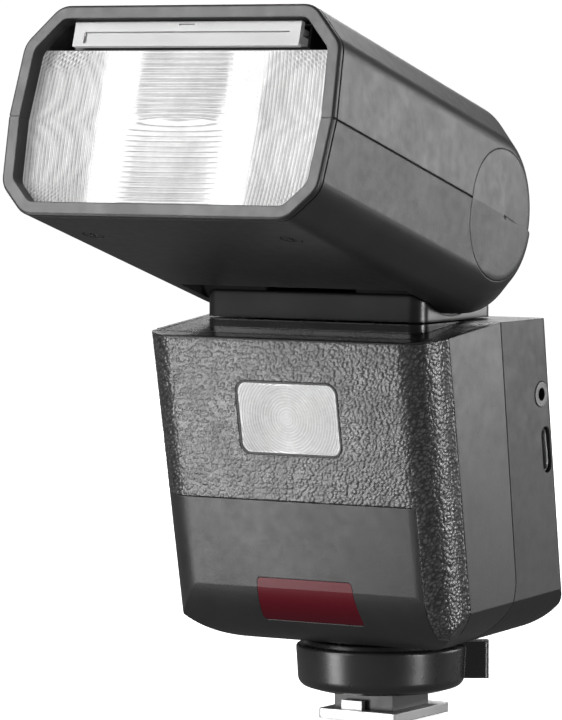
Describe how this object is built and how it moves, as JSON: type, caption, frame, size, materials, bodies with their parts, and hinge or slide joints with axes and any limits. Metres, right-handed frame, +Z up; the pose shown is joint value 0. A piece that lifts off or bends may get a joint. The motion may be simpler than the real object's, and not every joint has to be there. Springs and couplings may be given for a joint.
{
  "type": "speedlight flash",
  "caption": "Hot-shoe camera flash with a tilting, swivelling zoom head, leather-grain front, LED modelling lamp, red assist window and a foot with a lock ring.",
  "frame": {"origin": "centre of the shoe foot's underside", "axes": "+Z up, the flash fires towards -Y, +X is the side with the sockets"},
  "size_m": [0.0742, 0.108, 0.1466],
  "materials": {
    "shell_plastic": "satin moulded charcoal black, fine texture",
    "cap_plastic": "satin moulded charcoal black",
    "neck_plastic": "satin moulded black",
    "case_plastic": "satin moulded charcoal black",
    "rear_plastic": "satin moulded charcoal black",
    "grained_skin": "black leather grain",
    "gloss_black": "glossy black",
    "ring_plastic": "semi-gloss black",
    "shoe_plastic": "satin black",
    "inner_plastic": "matt black",
    "switch_plastic": "satin black",
    "dial_plastic": "semi-gloss black",
    "button_rubber": "matt dark grey rubber",
    "socket_plastic": "semi-gloss black",
    "clear_lens": "clear ribbed acrylic",
    "clear_panel": "clear acrylic",
    "red_window": "deep red translucent acrylic",
    "display_glass": "dark gloss display window",
    "display_panel": "dark display panel",
    "tube_glass": "clear glass tube",
    "ready_lens": "small red lamp",
    "led": "yellow phosphor on white",
    "led_red": "dark red emitter",
    "white_card": "matt white",
    "white_plastic": "satin white",
    "reflector_metal": "bright satin aluminium",
    "steel": "bright steel",
    "motor_can": "plain steel can",
    "black_screws": "black oxide",
    "foot_screws": "bright steel",
    "foot_metal": "bright satin plated metal",
    "socket_metal": "bright metal sleeve",
    "contact_gold": "gold plated",
    "board": "green circuit board",
    "copper": "varnished copper winding",
    "battery_wrap": "blue shrink wrap",
    "capacitor_sleeve": "dark plastic sleeve"
  },
  "bodies": {
    "case": {"swivel_collar": "inner_plastic", "front_cover": "case_plastic", "rear_cover": "rear_plastic", "grip_skin": "grained_skin", "top_plate": "gloss_black", "red_window": "red_window", "lamp_lens": "clear_lens", "lamp_board": "board", "lamp_chip": "led", "lamp_cup": "white_plastic", "assist_lamp": "led_red", "assist_board": "board", "battery_pack": "battery_wrap", "main_capacitor": "capacitor_sleeve", "main_board": "board", "control_board": "board", "sync_socket": "socket_plastic", "usb_socket": "socket_metal", "display_window": "display_glass", "display_panel": "display_panel", "dial_encoder": "inner_plastic", "tact_switches": "steel", "ready_lamp": "ready_lens", "case_screws": "black_screws", "foot_plate": "foot_metal", "shoe_base": "shoe_plastic", "foot_screws": "foot_screws"},
    "neck": {"neck_block": "neck_plastic", "swivel_hub": "inner_plastic", "swivel_washer": "steel"},
    "head": {"head_upper_shell": "shell_plastic", "head_lower_shell": "shell_plastic", "pivot_cap_left": "cap_plastic", "pivot_cap_right": "cap_plastic", "fresnel_lens": "clear_lens", "panel_tray": "inner_plastic", "zoom_rails": "steel", "zoom_screw": "steel", "zoom_motor": "motor_can", "head_board": "board", "trigger_coil": "copper", "tilt_axle": "steel", "pivot_plates": "steel", "head_screws": "black_screws"},
    "zoom": {"reflector": "reflector_metal", "flash_tube": "tube_glass", "zoom_carriage": "inner_plastic"},
    "wide_panel": {"wide_panel": "clear_panel"},
    "bounce_card": {"bounce_card": "white_card"},
    "lock_ring": {"lock_ring": "ring_plastic"},
    "lock_pin": {"lock_pin": "steel"},
    "contacts": {"contact_pins": "contact_gold"},
    "power_switch": {"power_switch": "switch_plastic"},
    "dial": {"control_dial": "dial_plastic"},
    "set_button": {"set_button": "button_rubber"},
    "lamp_button": {"lamp_button": "button_rubber"},
    "test_button": {"test_button": "button_rubber"},
    "mode_button": {"mode_button": "button_rubber"},
    "menu_button": {"menu_button": "button_rubber"}
  },
  "joints": [
    {"name": "head_swivel", "type": "hinge", "parent": "case", "child": "neck", "pos_m": [0, -0.0145, 0.0836], "axis": [0, 0, 1], "range_deg": [-150, 180]},
    {"name": "head_tilt", "type": "hinge", "parent": "neck", "child": "head", "pos_m": [0, -0.0163, 0.1049], "axis": [-1, 0, 0], "range_deg": [-16.8, 73.2]},
    {"name": "zoom_travel", "type": "slide", "parent": "head", "child": "zoom", "axis": [0, 0.9573, -0.289], "range_m": [0, 0.014]},
    {"name": "wide_panel_slide", "type": "slide", "parent": "head", "child": "wide_panel", "axis": [0, -0.9573, 0.289], "range_m": [0, 0.036]},
    {"name": "bounce_card_slide", "type": "slide", "parent": "head", "child": "bounce_card", "axis": [0, -0.9573, 0.289], "range_m": [0, 0.0361]},
    {"name": "lock_ring_turn", "type": "hinge", "parent": "case", "child": "lock_ring", "pos_m": [0, -0.0012, 0.0107], "axis": [0, 0, 1], "range_deg": [0, 60]},
    {"name": "lock_pin_drop", "type": "slide", "parent": "case", "child": "lock_pin", "axis": [0, 0, -1], "range_m": [0, 0.002]},
    {"name": "contact_press", "type": "slide", "parent": "case", "child": "contacts", "axis": [0, 0, 1], "range_m": [0, 0.0004]},
    {"name": "power_switch_slide", "type": "slide", "parent": "case", "child": "power_switch", "axis": [0, -0.1684, 0.9857], "range_m": [0, 0.004]},
    {"name": "dial_turn", "type": "hinge", "parent": "case", "child": "dial", "pos_m": [0, 0.01634, 0.03734], "axis": [0, 0.9874, 0.158], "continuous": true},
    {"name": "set_press", "type": "slide", "parent": "case", "child": "set_button", "axis": [0, -0.9874, -0.158], "range_m": [0, 0.0008]},
    {"name": "lamp_press", "type": "slide", "parent": "case", "child": "lamp_button", "axis": [0, -0.9874, -0.158], "range_m": [0, 0.0008]},
    {"name": "test_press", "type": "slide", "parent": "case", "child": "test_button", "axis": [0, -0.9874, -0.158], "range_m": [0, 0.0008]},
    {"name": "mode_press", "type": "slide", "parent": "case", "child": "mode_button", "axis": [0, -0.9874, -0.158], "range_m": [0, 0.0008]},
    {"name": "menu_press", "type": "slide", "parent": "case", "child": "menu_button", "axis": [0, -0.9874, -0.158], "range_m": [0, 0.0008]}
  ],
  "couplings": [
    {"joint": "bounce_card_slide", "follows": "wide_panel_slide", "ratio": 1},
    {"joint": "lock_pin_drop", "follows": "lock_ring_turn", "m_per_rad": 0.0018144}
  ]
}
